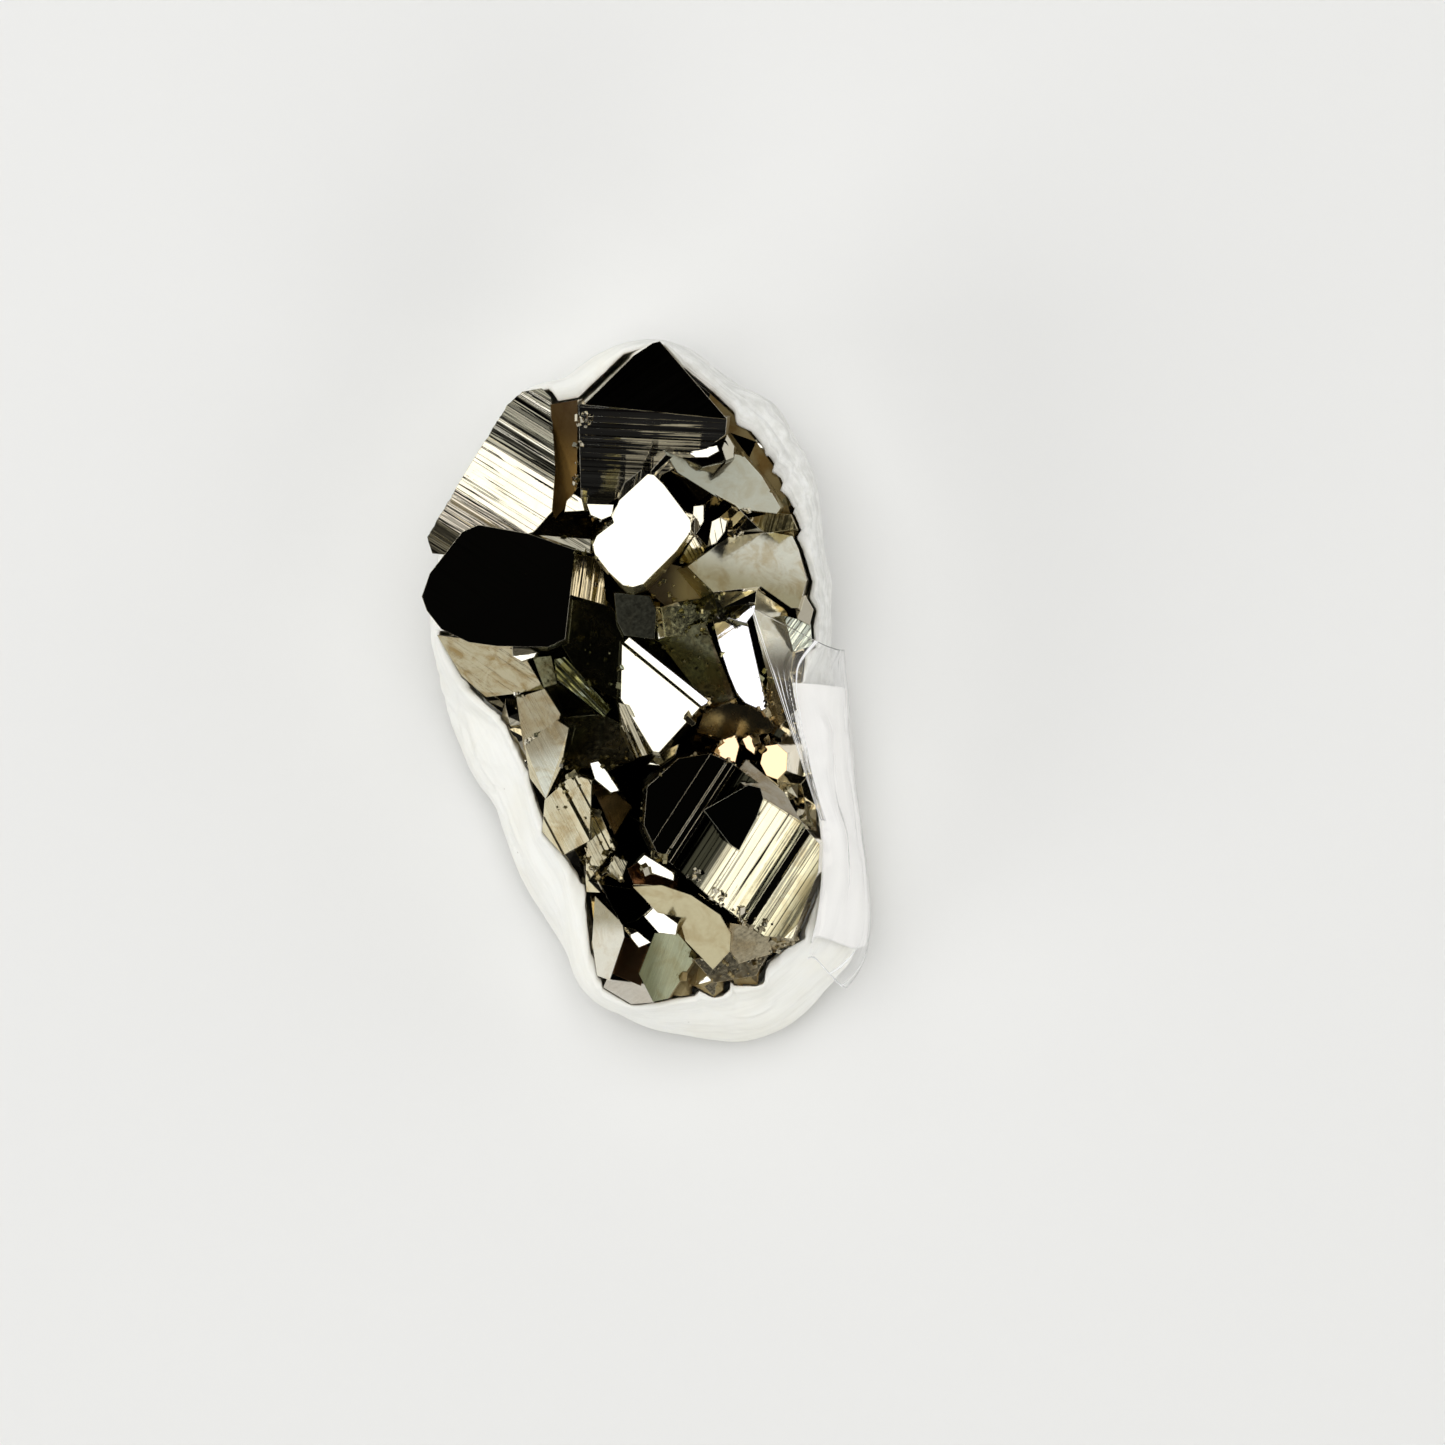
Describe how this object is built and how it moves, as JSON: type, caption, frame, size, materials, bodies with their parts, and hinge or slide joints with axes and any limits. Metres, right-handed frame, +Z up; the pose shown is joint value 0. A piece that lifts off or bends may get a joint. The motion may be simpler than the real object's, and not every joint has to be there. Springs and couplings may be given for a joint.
{
  "type": "pyrite crystal cluster",
  "caption": "Hand specimen of intergrown striated pyrite cubes and pyritohedra, its sides packed in white padding with a bare paper strip under clear tape.",
  "frame": {"origin": "on the table, under the middle of the whole specimen's bounding box", "axes": "+Z up from the table, +Y along the long side to the pointed end, +X to the side with the paper strip"},
  "size_m": [0.0456, 0.0714, 0.0296],
  "materials": {
    "pyrite": "mirror-bright metallic crystal faces with fine growth lines, brown tarnish in the hollows",
    "white_padding": "matt off-white tissue padding, softly wrinkled",
    "label_paper": "plain matt white paper",
    "clear_film": "clear glossy adhesive tape with long wrinkles"
  },
  "bodies": {
    "root": {"pyrite_cluster": "pyrite", "side_wrap": "white_padding", "paper_label": "label_paper", "clear_tape": "clear_film"}
  },
  "joints": []
}
